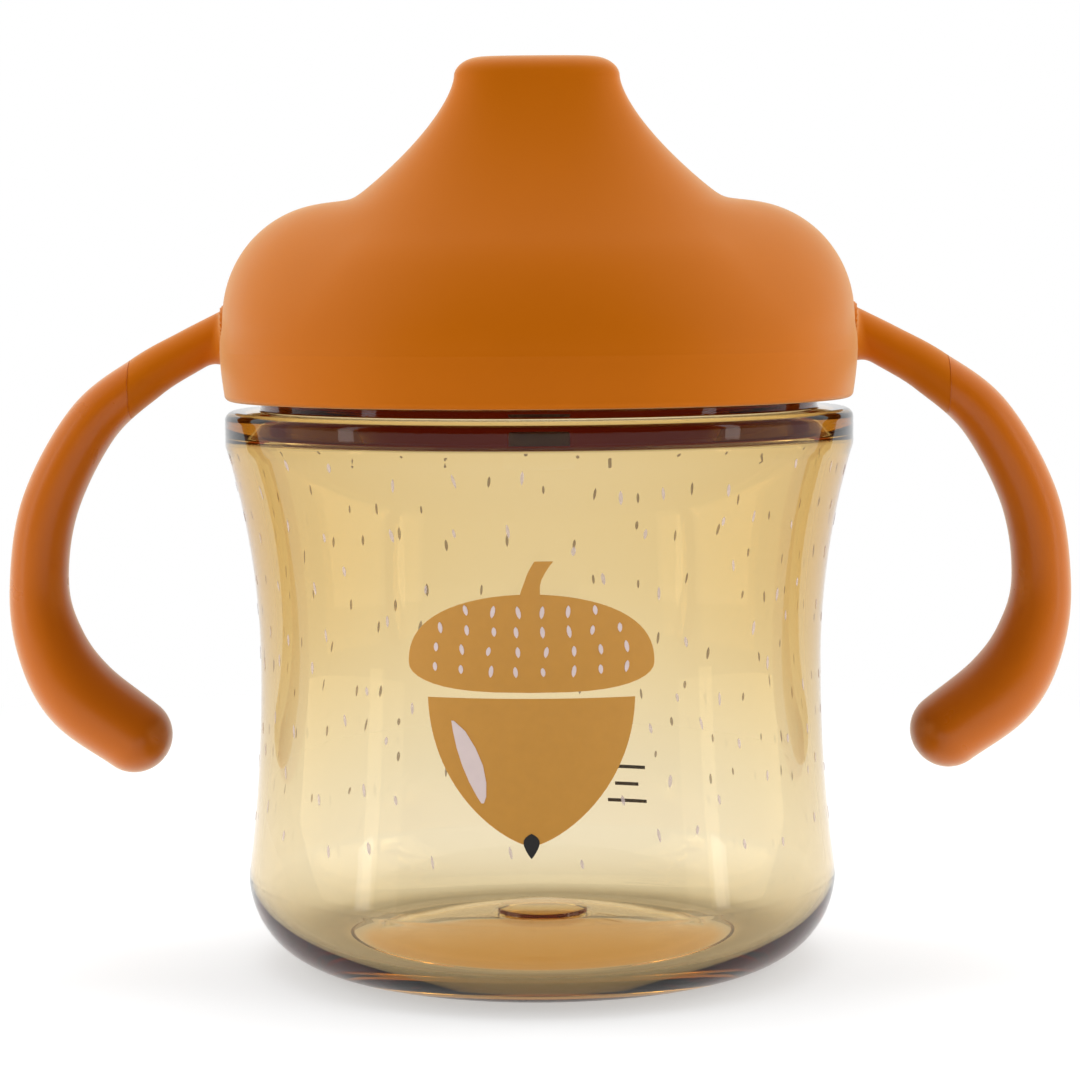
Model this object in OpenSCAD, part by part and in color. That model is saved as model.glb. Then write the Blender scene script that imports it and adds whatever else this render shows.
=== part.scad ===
// Two-handled training cup: clear tumbler, screw lid with a drinking spout and
// a pair of C-shaped handles, silicone rim gasket and silicone spout valve.
// Millimetres. The cup stands on Z = 0, its axis is Z, the spout leans to -Y.

/* [Cup] */
// Radius of the foot ring's outer edge
foot_r = 26.8; // [26:0.2:27.6]
// Height of the narrowest part of the wall
waist_z = 38; // [36:1:40]
// Outer radius at the waist
waist_r = 35.8; // [35.4:0.1:36.2]
// Height of the shoulder's top face
shoulder_z = 70.4; // [70:0.1:70.8]
// Outer radius of the shoulder
shoulder_r = 39.9; // [39.6:0.1:40]
// Height where the inside begins to slope in under the neck
slope_z = 66.7; // [66.3:0.1:67]
// Thickness of the side wall under the shoulder
wall_t = 2.6; // [2.2:0.1:2.8]
// Thickness of the side wall at the heel
heel_t = 1.2; // [1.1:0.1:1.8]
// Outer radius of the threaded neck
neck_r = 35.4; // [35.2:0.1:35.6]
// Inner radius of the neck
mouth_r = 33.2; // [33.1:0.1:33.6]
// Height of the rim that the gasket seals
rim_z = 81.5; // [81.2:0.1:81.8]

/* [Screw thread] */
// Rise in one turn
pitch = 4; // [3.8:0.1:4.4]
// Turns of each thread
thread_turns = 1.25; // [1:0.05:1.3]
// Height of the cup's ridge above the neck
cup_ridge = 1.2; // [1:0.1:1.3]
// Height of the lid's ridge above its skirt
lid_ridge = 1.3; // [1.1:0.1:1.4]
// Width of a ridge where it leaves its wall
ridge_base = 2; // [1.7:0.1:2]
// Width of a ridge along its crest
ridge_crest = 0.9; // [0.7:0.1:1]

/* [Lid] */
// Height of the skirt's lower edge
skirt_z = 71.7; // [71.5:0.1:72]
// Radius of the skirt's lower edge
skirt_r = 40; // [39.8:0.1:40.2]
// Radius at the mould parting line
lid_r = 40.5; // [40.3:0.1:40.8]
// Height of the mould parting line
parting_z = 78; // [77:0.5:79]
// Height of the dome behind the spout
dome_z = 96.4; // [95.5:0.1:97]
// Height where the dome's rounded edge begins
dome_side_z = 82; // [81.5:0.5:83]
// Radius of the flat middle of the dome
dome_flat_r = 26; // [25:0.5:27]
// Inner radius of the skirt
skirt_bore = 37.4; // [37.3:0.1:37.6]
// Thickness of the dome's wall
dome_t = 2; // [1.8:0.1:2.4]

/* [Spout] */
// Height of the spout's tip
spout_z = 113.4; // [112:0.1:115]
// Offset of the spout towards the drinker
spout_y = 18; // [17:0.5:19]
// Half width of the tip
tip_w = 10; // [9.6:0.1:10.6]
// Half depth of the tip
tip_d = 5.6; // [5.4:0.1:6]
// Height of the tip's rounded edge
tip_round = 2.4; // [1.8:0.1:2.6]
// Width of the tip's rounded edge
tip_inset = 3.5; // [2.4:0.1:3.8]
// Radius of a drinking hole
hole_r = 1.2; // [0.8:0.1:1.5]
// Distance between drinking holes
hole_gap = 4.4; // [4:0.1:5]

/* [Handles] */
// Distance from the axis to the seam between arm and grip
seam_x = 52; // [51:0.5:53]
// Width of the section over its thickness
grip_aspect = 1.25; // [1.1:0.05:1.4]
// Radius of the tenon inside the seam
tenon_r = 1.8; // [1.5:0.1:1.9]
// Length of the tenon beyond the seam
tenon_len = 7; // [5:0.5:8]

/* [Seals] */
// Gap left at each sealing face of the gasket
seal_gap = 0.02; // [0.02:0.01:0.05]
// Thickness of the valve's rubber
valve_t = 1.5; // [1.3:0.1:1.7]
// Gap between the valve's cups and the tubes they fit
valve_gap = 0.08; // [0.05:0.01:0.1]

/* [Hidden] */
$fn = 120;

amber = [0.87, 0.70, 0.36, 0.5];
ochre = [0.80, 0.45, 0.10];
deep_ochre = [0.76, 0.40, 0.09];
milky = [0.92, 0.90, 0.86];

// ---- shared shapes ----

// One closed solid through a list of rings that all have the same number of points
module ring_loft(rings) {
    n = len(rings[0]);
    m = len(rings);
    points = [for (ring = rings, p = ring) p];
    sides = [for (j = [0:m - 2], i = [0:n - 1])
        let (k = (i + 1) % n)
        each [[j * n + i, (j + 1) * n + k, j * n + k], [j * n + i, (j + 1) * n + i, (j + 1) * n + k]]];
    start_cap = [for (i = [0:n - 1]) i];
    end_cap = [for (i = [n - 1:-1:0]) (m - 1) * n + i];
    polyhedron(points, concat([start_cap, end_cap], sides), convexity = 10);
}

// A slot with round ends, along X
module stadium(half_length, r) {
    square([2 * half_length, 2 * r], center = true);
    for (side = [-1, 1])
        translate([side * half_length, 0])
            circle(r);
}

function smooth_step(t) = let (c = max(0, min(1, t))) c * c * (3 - 2 * c);

// ---- screw thread ----

thread_steps = 44;
thread_fade = 0.08;
ridge_root = 0.4;
faded_ridge = 0.05;

// Share of the full ridge height, 0 at both ends of a thread
function fade(t) = min(1, t / thread_fade, (1 - t) / thread_fade);

// Section of a ridge: across its wall, then along the axis
function ridge_section(wall, height) =
    [[wall - sign(height) * ridge_root, -ridge_base / 2], [wall + height, -ridge_crest / 2],
     [wall + height, ridge_crest / 2], [wall - sign(height) * ridge_root, ridge_base / 2]];

// Helical ridge that grows out of a wall, or inwards where its height is negative
module thread_ridge(wall, height, start_z, start_angle) {
    order = height > 0 ? [3, 2, 1, 0] : [0, 1, 2, 3];
    ring_loft([for (j = [0:thread_steps])
        let (t = j / thread_steps)
        let (turn = start_angle + 360 * thread_turns * t)
        let (rise = start_z + pitch * thread_turns * t)
        let (section = ridge_section(wall, height * max(fade(t), faded_ridge)))
        [for (i = order)
            [section[i][0] * cos(turn), section[i][0] * sin(turn), rise + section[i][1]]]]);
}

// ---- cup ----

flare_r = 98;
taper_r = 190;
heel_z = 11.2;
corner_r = 1.2;
rim_round = 0.6;
slope_round = 1.2;
foot_w = 2;
recess_z = 1;
kick_r = 22;
kick_z = 4.4;
floor_z = 2.4;
thick_z = 58;
disc_r = 5.8;
disc_t = 0.4;
cup_thread_z = 73.8;
kick_rise = kick_z - recess_z;
flare_end_z = waist_z + sqrt(pow(flare_r, 2) - pow(flare_r + waist_r - shoulder_r, 2));
wall_steps = 24;
round_steps = 6;
heel_steps = 12;

// Points along an arc, or along an oval where its height differs from its width
function arc(centre, w, h, from, to, steps) =
    [for (i = [0:steps])
        let (a = from + (to - from) * i / steps)
        [centre[0] + w * cos(a), centre[1] + h * sin(a)]];

// Outer radius of the waisted wall at a height
function wall_radius(z) =
    let (r = z < waist_z ? taper_r : flare_r)
    waist_r + r - sqrt(r * r - pow(z - waist_z, 2));

// Thickness of the wall at a height
function thickness(z) = heel_t + (wall_t - heel_t) * smooth_step((z - heel_z) / (thick_z - heel_z));

// Points up the wall between two heights, inset by a share of its thickness
function wall(share, low, high) =
    [for (i = [0:wall_steps])
        let (z = low + (high - low) * i / wall_steps)
        [min(shoulder_r, wall_radius(z)) - share * thickness(z), z]];

// Points over the domed kick-up, from the radius where its flat disc ends
function kick(start_r, base) =
    let (r = (kick_r * kick_r + kick_rise * kick_rise) / (2 * kick_rise))
    [for (i = [0:round_steps])
        let (x = start_r + (kick_r - start_r) * i / round_steps)
        [x, base + kick_rise - r + sqrt(r * r - x * x)]];

function flipped(points) = [for (i = [len(points) - 1:-1:0]) points[i]];

slope_r = shoulder_r - wall_t;
slope_end_z = slope_z + slope_r - mouth_r + slope_round * 2 * tan(22.5);
heel_w = wall_radius(heel_z) - foot_r;

outside_line = concat(
    kick(0, recess_z),
    [[foot_r - foot_w, recess_z], [foot_r - foot_w, 0]],
    arc([foot_r, heel_z], heel_w, heel_z, -90, -90 / heel_steps, heel_steps - 1),
    wall(0, heel_z, flare_end_z),
    arc([shoulder_r - corner_r, shoulder_z - corner_r], corner_r, corner_r, 0, 90, round_steps),
    [[neck_r, shoulder_z]],
    arc([neck_r - rim_round, rim_z - rim_round], rim_round, rim_round, 0, 90, round_steps));

inside_line = concat(
    [[mouth_r, rim_z]],
    arc([mouth_r + slope_round, slope_end_z], slope_round, slope_round, 180, 225, round_steps),
    arc([slope_r - slope_round, slope_z], slope_round, slope_round, 45, 45 / round_steps, round_steps - 1),
    flipped(wall(1, heel_z, slope_z)),
    arc([foot_r, heel_z], heel_w - heel_t, heel_z - floor_z, -90 / heel_steps, -90, heel_steps - 1),
    flipped(kick(disc_r, floor_z)),
    [[disc_r, floor_z + kick_rise + disc_t], [0, floor_z + kick_rise + disc_t]]);

module cup_body() {
    color(amber) {
        rotate_extrude()
            polygon(concat(outside_line, inside_line));
        thread_ridge(neck_r, cup_ridge, cup_thread_z, 0);
    }
}

// ---- lid ----

lid_sides = 48;
lid_rings = 22;
tip_power = 2.6;
skirt_edge = 0.8;
flank_drop = 25.9;
flank_power = 2 / 3;
edge_share = 0.35;
edge_power = 2.5;
back_spread = 0.75;
crease_width = 1.2;
dome_front_start = -45;
dome_front_end = -5;
dome_lean = 0.4;

// Spaces the rings closely at the skirt and at the tip
function ring_share(j) = smooth_step(j / lid_rings);

// A point round the tip's flattened oval
function tip_point(a, w, d) =
    [w * sign(cos(a)) * pow(abs(cos(a)), 2 / tip_power),
     d * sign(sin(a)) * pow(abs(sin(a)), 2 / tip_power) - spout_y];

// Height of the dome, inset by t from its outer face, at radius r
function dome_height(r, t) =
    let (edge = t > 0 ? skirt_bore : lid_r - dome_lean)
    let (out = (r - dome_flat_r) / (edge - dome_flat_r))
    out <= 0 ? dome_z - t :
    out <= 1 ? dome_side_z + (dome_z - t - dome_side_z) * sqrt(1 - out * out) :
    parting_z + (dome_side_z - parting_z) * min(1, max(0, lid_r - r) / dome_lean);

// Height of the spout's flank at share s of the way from skirt to tip
function flank_height(s, a, t) =
    let (spread = 1 + back_spread * pow(max(0, sin(a)), 2))
    let (edge = pow(1 - pow(1 - min(1, s / edge_share), edge_power), 1 / edge_power))
    let (tip = spout_z - tip_round - t)
    parting_z + edge * (tip - parting_z - flank_drop * pow(spread * (1 - s), flank_power));

// Greater of x and 0, rounded over a width w
function soft_positive(x, w) = (x + sqrt(x * x + w * w)) / 2;

// Ring of the lid's surface, inset by t, at share s of the way from skirt to tip
function lid_ring(s, t) =
    [for (i = [0:lid_sides - 1])
        let (a = 360 * (i + 0.5) / lid_sides - 180)
        let (skirt = t > 0 ? skirt_bore : lid_r)
        let (tip = tip_point(a, tip_w - t, tip_d - t))
        let (x = (1 - s) * skirt * cos(a) + s * tip[0])
        let (y = (1 - s) * skirt * sin(a) + s * tip[1])
        let (flank = flank_height(s, a, t))
        let (dome = dome_height(norm([x, y]), t))
        let (front = a < -90 ? -180 - a : a)
        let (share = a > 90 ? 1 : smooth_step((front - dome_front_start) / (dome_front_end - dome_front_start)))
        [x, y, flank + share * soft_positive(dome - flank, crease_width * min(1, 8 * s))]];

function round_ring(r, z) =
    [for (i = [0:lid_sides - 1])
        let (a = 360 * (i + 0.5) / lid_sides - 180)
        [r * cos(a), r * sin(a), z]];

// Ring of the tip, drawn in from its edge by d and raised by h above it
function tip_ring(t, d, h) =
    [for (p = lid_ring(1, t))
        [p[0] * (1 - d / tip_w), (p[1] + spout_y) * (1 - d / tip_d) - spout_y, spout_z - tip_round - t + h]];

outer_rings = concat(
    [round_ring(skirt_r - skirt_edge, skirt_z), round_ring(skirt_r, skirt_z + skirt_edge)],
    [for (j = [0:lid_rings]) lid_ring(ring_share(j), 0)],
    [for (a = [30, 60, 90]) tip_ring(0, tip_inset * (1 - cos(a)), tip_round * sin(a))]);

inner_rings = concat(
    [round_ring(skirt_bore, skirt_z)],
    [for (j = [0:lid_rings]) lid_ring(ring_share(j), dome_t)],
    [tip_ring(dome_t, tip_round - dome_t, tip_round)]);

plug_r = 32.8;
plug_t = 1.4;
plug_z = 79.6;
ledge_t = 1.5;
gasket_top = 83.1;
channel_half = 3.8;
channel_r = 3.7;
channel_t = 1.2;
channel_z = 88;
vent_y = 12;
vent_r = 2;
vent_t = 1.2;
vent_hole_r = 0.6;
lid_thread_turn = 90;
thread_play = 1.6;
lid_thread_z = cup_thread_z + pitch * lid_thread_turn / 360 - thread_play;

// Ledge that carries the gasket, with a ring that enters the cup's mouth
module plug_ring() {
    rotate_extrude()
        union() {
            translate([plug_r - plug_t, plug_z])
                square([plug_t, gasket_top + ledge_t - plug_z]);
            translate([plug_r - plug_t, gasket_top])
                square([skirt_bore + ridge_root - plug_r + plug_t, ledge_t]);
        }
}

// Wall of the drinking channel that hangs from the spout
module channel_wall() {
    translate([0, -spout_y, channel_z])
        linear_extrude(spout_z - tip_round - 1 - channel_z)
            stadium(channel_half, channel_r + channel_t);
}

// Space inside the channel, up to the spout's roof
module channel_space() {
    translate([0, -spout_y, channel_z - 1])
        linear_extrude(spout_z - dome_t - channel_z + 1)
            stadium(channel_half, channel_r);
}

module drinking_holes() {
    for (i = [-1:1])
        translate([i * hole_gap, -spout_y, spout_z - dome_t - 1])
            cylinder(h = dome_t + 2, r = hole_r, $fn = 48);
}

// Tube that takes the valve's vent cup
module vent_tube() {
    translate([0, vent_y, channel_z])
        cylinder(h = dome_z - dome_t + 0.8 - channel_z, r = vent_r + vent_t);
}

module vent_space() {
    translate([0, vent_y, channel_z - 1])
        cylinder(h = dome_z - dome_t - channel_z, r = vent_r);
    translate([0, vent_y, channel_z])
        cylinder(h = dome_z + 2 - channel_z, r = vent_hole_r, $fn = 48);
}

// ---- handles ----

// Centre line from inside the lid's wall to the tip: distance out, height, half thickness
handle_path = [
    [38.4, 81, 2.7],
    [44.5, 77.9, 2.75],
    [50.1, 74.6, 2.95],
    [57, 68.8, 3.35],
    [62.6, 58.4, 3.6],
    [64.2, 48, 3.75],
    [62.8, 40.3, 4.4],
    [59.1, 34, 5],
    [52.3, 28.7, 4.8]];
handle_sides = 16;
handle_steps = 3;
arm_last = 9;
grip_first = 5;
seam_z = 73.2;
seam_slope = 42;
seam_box = 24;
tenon_root = 4;

// Smooth curve through the points of a list, t counts its points
function spline(p, t) =
    let (i = max(0, min(floor(t), len(p) - 2)))
    let (f = t - i)
    let (b = p[i])
    let (c = p[i + 1])
    let (a = i > 0 ? p[i - 1] : 2 * b - c)
    let (d = i + 2 < len(p) ? p[i + 2] : 2 * c - b)
    b + f * (c - a) / 2 + f * f * (a - 2.5 * b + 2 * c - d / 2) + f * f * f * (3 * b - a - 3 * c + d) / 2;

// Unit direction of the handle's line at t
function handle_dir(t) =
    let (q = spline(handle_path, t + 0.01) - spline(handle_path, t - 0.01))
    [q[0], q[1]] / norm([q[0], q[1]]);

// Oval section of the handle at t, moved on by ahead and shrunk by a factor
function handle_ring(t, ahead = 0, factor = 1) =
    let (p = spline(handle_path, t))
    let (dir = handle_dir(t))
    let (h = p[2] * factor)
    [for (i = [0:handle_sides - 1])
        let (a = -360 * i / handle_sides)
        [p[0] + dir[0] * ahead - dir[1] * h * cos(a), h * grip_aspect * sin(a),
         p[1] + dir[1] * ahead + dir[0] * h * cos(a)]];

// Block on one side of the upright plane of the seam
module seam_block(side) {
    translate([seam_x + side * seam_box / 2, 0, seam_z])
        cube(seam_box, center = true);
}

// Peg from the arm into the grip, on the handle's line at the seam
module tenon() {
    translate([seam_x, 0, seam_z])
        rotate([0, 90 + seam_slope, 0])
            translate([0, 0, -tenon_root])
                cylinder(h = tenon_root + tenon_len, r = tenon_r, $fn = 48);
}

// Arm moulded on the lid, from inside its wall to the seam
module right_arm() {
    difference() {
        ring_loft([for (j = [0:arm_last]) handle_ring(j / handle_steps)]);
        seam_block(1);
    }
    tenon();
}

// Handle beyond the seam, with a rounded tip and a socket for the tenon
module right_grip() {
    last = len(handle_path) - 1;
    tip_r = handle_path[last][2];
    difference() {
        ring_loft(concat(
            [for (j = [grip_first:last * handle_steps]) handle_ring(j / handle_steps)],
            [for (a = [25, 50, 75]) handle_ring(last, tip_r * sin(a), cos(a))]));
        seam_block(-1);
        tenon();
    }
}

module lid_shell() {
    color(ochre) {
        difference() {
            union() {
                ring_loft(concat([for (j = [len(inner_rings) - 1:-1:0]) inner_rings[j]], outer_rings));
                plug_ring();
                channel_wall();
                vent_tube();
                right_arm();
                mirror([1, 0, 0])
                    right_arm();
            }
            channel_space();
            drinking_holes();
            vent_space();
        }
        thread_ridge(skirt_bore, -lid_ridge, lid_thread_z, lid_thread_turn);
    }
}

module grip_left() {
    color(deep_ochre)
        mirror([1, 0, 0])
            right_grip();
}

module grip_right() {
    color(deep_ochre)
        right_grip();
}

// ---- seals ----

gasket_in = plug_r + 0.15;
gasket_out = neck_r + 0.2;
gasket_chamfer = 0.3;

module rim_gasket() {
    low = rim_z + seal_gap;
    high = gasket_top - seal_gap;
    color(milky)
        rotate_extrude()
            polygon([
                [gasket_in + gasket_chamfer, low], [gasket_out - gasket_chamfer, low],
                [gasket_out, low + gasket_chamfer], [gasket_out, high - gasket_chamfer],
                [gasket_out - gasket_chamfer, high], [gasket_in + gasket_chamfer, high],
                [gasket_in, high - gasket_chamfer], [gasket_in, low + gasket_chamfer]]);
}

valve_cup_h = 4;
valve_floor_z = channel_z - valve_t;
slit_length = 5;
slit_w = 0.3;
tab_w = 9;
tab_len = 7;

// Stadium cup of the valve, grown or shrunk by its radius
module valve_cup_shape(z, h, r) {
    translate([0, -spout_y, z])
        linear_extrude(h)
            stadium(channel_half, r);
}

module spout_valve() {
    channel_fit = channel_r + channel_t + valve_gap;
    vent_fit = vent_r + vent_t + valve_gap;
    seat_z = channel_z - valve_gap;
    color(milky)
        difference() {
            union() {
                valve_cup_shape(valve_floor_z, valve_t + valve_cup_h, channel_fit + valve_t);
                translate([0, vent_y, valve_floor_z])
                    cylinder(h = valve_t + valve_cup_h, r = vent_fit + valve_t);
                translate([-tab_w / 2, -spout_y, valve_floor_z])
                    cube([tab_w, spout_y + vent_y, valve_t - valve_gap]);
                translate([0, vent_y + tab_len, valve_floor_z])
                    cylinder(h = valve_t - valve_gap, r = tab_w / 2);
                translate([-tab_w / 2, vent_y, valve_floor_z])
                    cube([tab_w, tab_len, valve_t - valve_gap]);
            }
            valve_cup_shape(seat_z, valve_cup_h + valve_t, channel_fit);
            translate([0, vent_y, seat_z])
                cylinder(h = valve_cup_h + valve_t, r = vent_fit);
            for (turn = [0, 90])
                translate([0, -spout_y, valve_floor_z - 1])
                    rotate([0, 0, turn])
                        translate([-slit_length / 2, -slit_w / 2, 0])
                            cube([slit_length, slit_w, valve_t + 2]);
            translate([0, vent_y, valve_floor_z - 1])
                cylinder(h = valve_t + 2, r = vent_hole_r, $fn = 48);
        }
}

cup_body();
lid_shell();
grip_left();
grip_right();
rim_gasket();
spout_valve();
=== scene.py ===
import math
import random

import bpy
from mathutils import Matrix, Vector


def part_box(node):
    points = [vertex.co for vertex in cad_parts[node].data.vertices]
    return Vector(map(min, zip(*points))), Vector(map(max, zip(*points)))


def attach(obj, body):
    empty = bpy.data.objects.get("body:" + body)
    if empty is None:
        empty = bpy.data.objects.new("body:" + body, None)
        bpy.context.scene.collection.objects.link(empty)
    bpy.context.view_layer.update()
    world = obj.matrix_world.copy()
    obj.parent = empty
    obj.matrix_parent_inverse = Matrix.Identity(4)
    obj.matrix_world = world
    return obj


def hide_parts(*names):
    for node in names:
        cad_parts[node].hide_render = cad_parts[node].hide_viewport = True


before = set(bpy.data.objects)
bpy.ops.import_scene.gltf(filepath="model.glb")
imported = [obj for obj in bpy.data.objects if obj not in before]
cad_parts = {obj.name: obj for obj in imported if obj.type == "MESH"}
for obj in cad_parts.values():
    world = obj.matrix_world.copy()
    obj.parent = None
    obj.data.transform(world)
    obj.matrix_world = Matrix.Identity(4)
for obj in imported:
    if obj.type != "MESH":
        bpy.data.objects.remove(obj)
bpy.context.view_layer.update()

# Lengths are in millimetres, and become metres where a mesh is made. The cup's axis is Z, the spout
# leans to -Y and the handles lie along X.
MM = 0.001
TURN = 2 * math.pi
FRONT = -TURN / 4
BACK = TURN / 4


# ---- camera ----

CAMERA_BACK = 382.8
CAMERA_HEIGHT = 85.5
CAMERA_PITCH = math.radians(-4.78)
CAMERA_ROLL = math.radians(-0.4)
CAMERA_LENS = 100


def make_camera():
    data = bpy.data.cameras.new("camera")
    data.lens = CAMERA_LENS
    data.sensor_width = 36
    data.clip_start = 0.01
    camera = bpy.data.objects.new("camera", data)
    level = Matrix.Rotation(TURN / 4 + CAMERA_PITCH, 3, "X")
    camera.rotation_euler = (level @ Matrix.Rotation(CAMERA_ROLL, 3, "Z")).to_euler()
    camera.location = Vector((0, -CAMERA_BACK, CAMERA_HEIGHT)) * MM
    bpy.context.scene.collection.objects.link(camera)
    bpy.context.scene.camera = camera


# ---- sizes, from the frame ----


def corners(node):
    """Lowest and highest corner of a CAD node, in millimetres."""
    return [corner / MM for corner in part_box(node)]


cup_high = corners("cup_body")[1]
lid_high = corners("lid_shell")[1]
gasket_low, gasket_high = corners("rim_gasket")
valve_low, valve_high = corners("spout_valve")

shoulder_r = cup_high.x
rim_z = cup_high.z
neck_r = shoulder_r - 4.5
mouth_r = neck_r - 2.2
shoulder_z = rim_z - 11.1
slope_z = shoulder_z - 3.7
waist_r = shoulder_r - 4.1
waist_z = 38
wall_t = 2.6
heel_t = 1.2
foot_r = 26.8

lid_r = lid_high.y
skirt_r = lid_r - 0.5
skirt_z = rim_z - 9.8
skirt_bore = lid_r - 3.1
parting_z = skirt_z + 6.3
spout_z = lid_high.z
dome_z = spout_z - 17
dome_t = 2
seam_x = lid_high.x - 6.4


# ---- meshes ----


def smooth_step(t):
    t = max(0.0, min(1.0, t))
    return t * t * (3 - 2 * t)


def build(name, points, faces, sharp_angle=32):
    """A mesh object from points in millimetres, shaded smooth except along its sharp edges."""
    mesh = bpy.data.meshes.new(name)
    mesh.from_pydata([(x * MM, y * MM, z * MM) for x, y, z in points], [], faces)
    mesh.shade_smooth()
    mesh.set_sharp_from_angle(angle=math.radians(sharp_angle))
    piece = bpy.data.objects.new(name, mesh)
    bpy.context.scene.collection.objects.link(piece)
    return piece


def lathe(name, outline, sides=256):
    """A solid turned round Z from a closed outline of (radius, height), listed anticlockwise."""
    points, rings, faces = [], [], []
    for radius, height in outline:
        start = len(points)
        if radius < 1e-6:
            rings.append([start] * sides)
            points.append((0, 0, height))
            continue
        rings.append(list(range(start, start + sides)))
        for i in range(sides):
            angle = TURN * i / sides
            points.append((radius * math.cos(angle), radius * math.sin(angle), height))
    for low, high in zip(rings, rings[1:] + rings[:1]):
        for i in range(sides):
            k = (i + 1) % sides
            face = list(dict.fromkeys((low[i], low[k], high[k], high[i])))
            if len(face) > 2:
                faces.append(face)
    return build(name, points, faces)


def loft(name, rings, sharp_angle=32):
    """A closed solid through rings that all have the same number of points."""
    count = len(rings[0])
    points = [point for ring in rings for point in ring]
    faces = []
    for j in range(len(rings) - 1):
        for i in range(count):
            k = (i + 1) % count
            a, b = j * count, (j + 1) * count
            faces.append((a + i, a + k, b + k, b + i))
    faces.append(tuple(reversed(range(count))))
    faces.append(tuple(range(len(points) - count, len(points))))
    return build(name, points, faces, sharp_angle)


def combine(piece, tool, operation="UNION", sharp_angle=32):
    """Adds a tool solid to a piece, or cuts it away, and removes the tool."""
    modifier = piece.modifiers.new("combine", "BOOLEAN")
    modifier.operation = operation
    modifier.solver = "MANIFOLD"
    modifier.object = tool
    shape = piece.evaluated_get(bpy.context.evaluated_depsgraph_get())
    mesh = bpy.data.meshes.new_from_object(shape)
    piece.modifiers.clear()
    piece.data = mesh
    piece.data.name = piece.name
    mesh.shade_smooth()
    mesh.set_sharp_from_angle(angle=math.radians(sharp_angle))
    bpy.data.objects.remove(tool)


def mirrored(ring_list):
    """Rings mirrored in X, with the order of their points turned back so that faces stay outward."""
    return [[(-x, y, z) for x, y, z in reversed(ring)] for ring in ring_list]


def finish_piece(piece, body, slot, material, *nodes):
    piece.data.materials.clear()
    piece.data.materials.append(material)
    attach(piece, body)
    if nodes:
        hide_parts(*nodes)


def stadium(half, radius, middle_y, height, steps=24):
    """A ring of points round a slot with round ends, along X."""
    ring = []
    for side in (1, -1):
        for i in range(steps + 1):
            angle = TURN / 2 * i / steps - TURN / 4
            ring.append((side * (half + radius * math.cos(angle)),
                         middle_y + side * radius * math.sin(angle), height))
    return ring


def block(name, middle, size):
    """A cube about a middle point."""
    half = size / 2
    ring = [(-half, -half), (half, -half), (half, half), (-half, half)]
    mx, my, mz = middle
    return loft(name, [[(mx + x, my + y, mz + z) for x, y in ring] for z in (-half, half)])


def rounded_prism(name, shape, low, high, radius, steps=5):
    """A prism with rounded edges. shape(inset, height) gives its ring of points."""
    arcs = [TURN / 4 * i / steps for i in range(steps + 1)]
    rings = [shape(radius * (1 - math.sin(a)), low + radius * (1 - math.cos(a))) for a in arcs]
    rings += [shape(radius * (1 - math.cos(a)), high - radius * (1 - math.sin(a))) for a in arcs]
    return loft(name, rings)


# ---- materials ----

LID_COLOUR = (0.52, 0.136, 0.0006)
GRIP_COLOUR = (0.54, 0.132, 0.0006)
SHEEN_COLOUR = (1, 0.95, 0.58, 1)
# Painted glow: a faint orange emission on the lid and grips, standing in for light that shines through the
# translucent plastic
PAINTED_GLOW_COLOUR = (1, 0.09, 0, 1)
PAINTED_GLOW_STRENGTH = 0.05


def new_material(name):
    """A node material with a Principled shader. Returns it with its node tree and that shader."""
    material = bpy.data.materials.new(name)
    material.use_nodes = True
    tree = material.node_tree
    return material, tree, tree.nodes["Principled BSDF"]


def noise(tree, scale, detail=3.0, roughness=0.5):
    """Noise in the object's own space. scale is in features a metre."""
    place = tree.nodes.new("ShaderNodeTexCoord")
    node = tree.nodes.new("ShaderNodeTexNoise")
    node.inputs["Scale"].default_value = scale
    node.inputs["Detail"].default_value = detail
    node.inputs["Roughness"].default_value = roughness
    tree.links.new(place.outputs["Object"], node.inputs["Vector"])
    return node.outputs["Fac"]


def spread(tree, value, low, high):
    """Maps a noise's usual range to low and high."""
    node = tree.nodes.new("ShaderNodeMapRange")
    node.inputs["From Min"].default_value = 0.3
    node.inputs["From Max"].default_value = 0.7
    node.inputs["To Min"].default_value = low
    node.inputs["To Max"].default_value = high
    tree.links.new(value, node.inputs["Value"])
    return node.outputs["Result"]


def bump(tree, shader, height, distance, strength=1.0):
    node = tree.nodes.new("ShaderNodeBump")
    node.inputs["Distance"].default_value = distance * MM
    node.inputs["Strength"].default_value = strength
    tree.links.new(height, node.inputs["Height"])
    tree.links.new(node.outputs["Normal"], shader.inputs["Normal"])


def varied_colour(tree, shader, colour, value, amount):
    """A colour that a noise value darkens or lightens a little."""
    node = tree.nodes.new("ShaderNodeMix")
    node.data_type = "RGBA"
    node.inputs["A"].default_value = (*[c * (1 - amount) for c in colour], 1)
    node.inputs["B"].default_value = (*[c * (1 + amount) for c in colour], 1)
    tree.links.new(value, node.inputs["Factor"])
    tree.links.new(node.outputs["Result"], shader.inputs["Base Color"])


def moulded_plastic(name, colour, roughness, shine):
    """Coloured polypropylene from a finely eroded mould."""
    material, tree, shader = new_material(name)
    varied_colour(tree, shader, colour, noise(tree, 60), 0.05)
    varied = spread(tree, noise(tree, 180), roughness - 0.03, roughness + 0.03)
    tree.links.new(varied, shader.inputs["Roughness"])
    bump(tree, shader, noise(tree, 5200, detail=2), 0.012)
    shader.inputs["IOR"].default_value = 1.49
    shader.inputs["Specular IOR Level"].default_value = shine
    shader.inputs["Sheen Weight"].default_value = 0.5
    shader.inputs["Sheen Roughness"].default_value = 0.4
    shader.inputs["Sheen Tint"].default_value = SHEEN_COLOUR
    # Painted glow, in place of light passing through the translucent plastic
    shader.inputs["Emission Color"].default_value = PAINTED_GLOW_COLOUR
    shader.inputs["Emission Strength"].default_value = PAINTED_GLOW_STRENGTH
    return material


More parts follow.
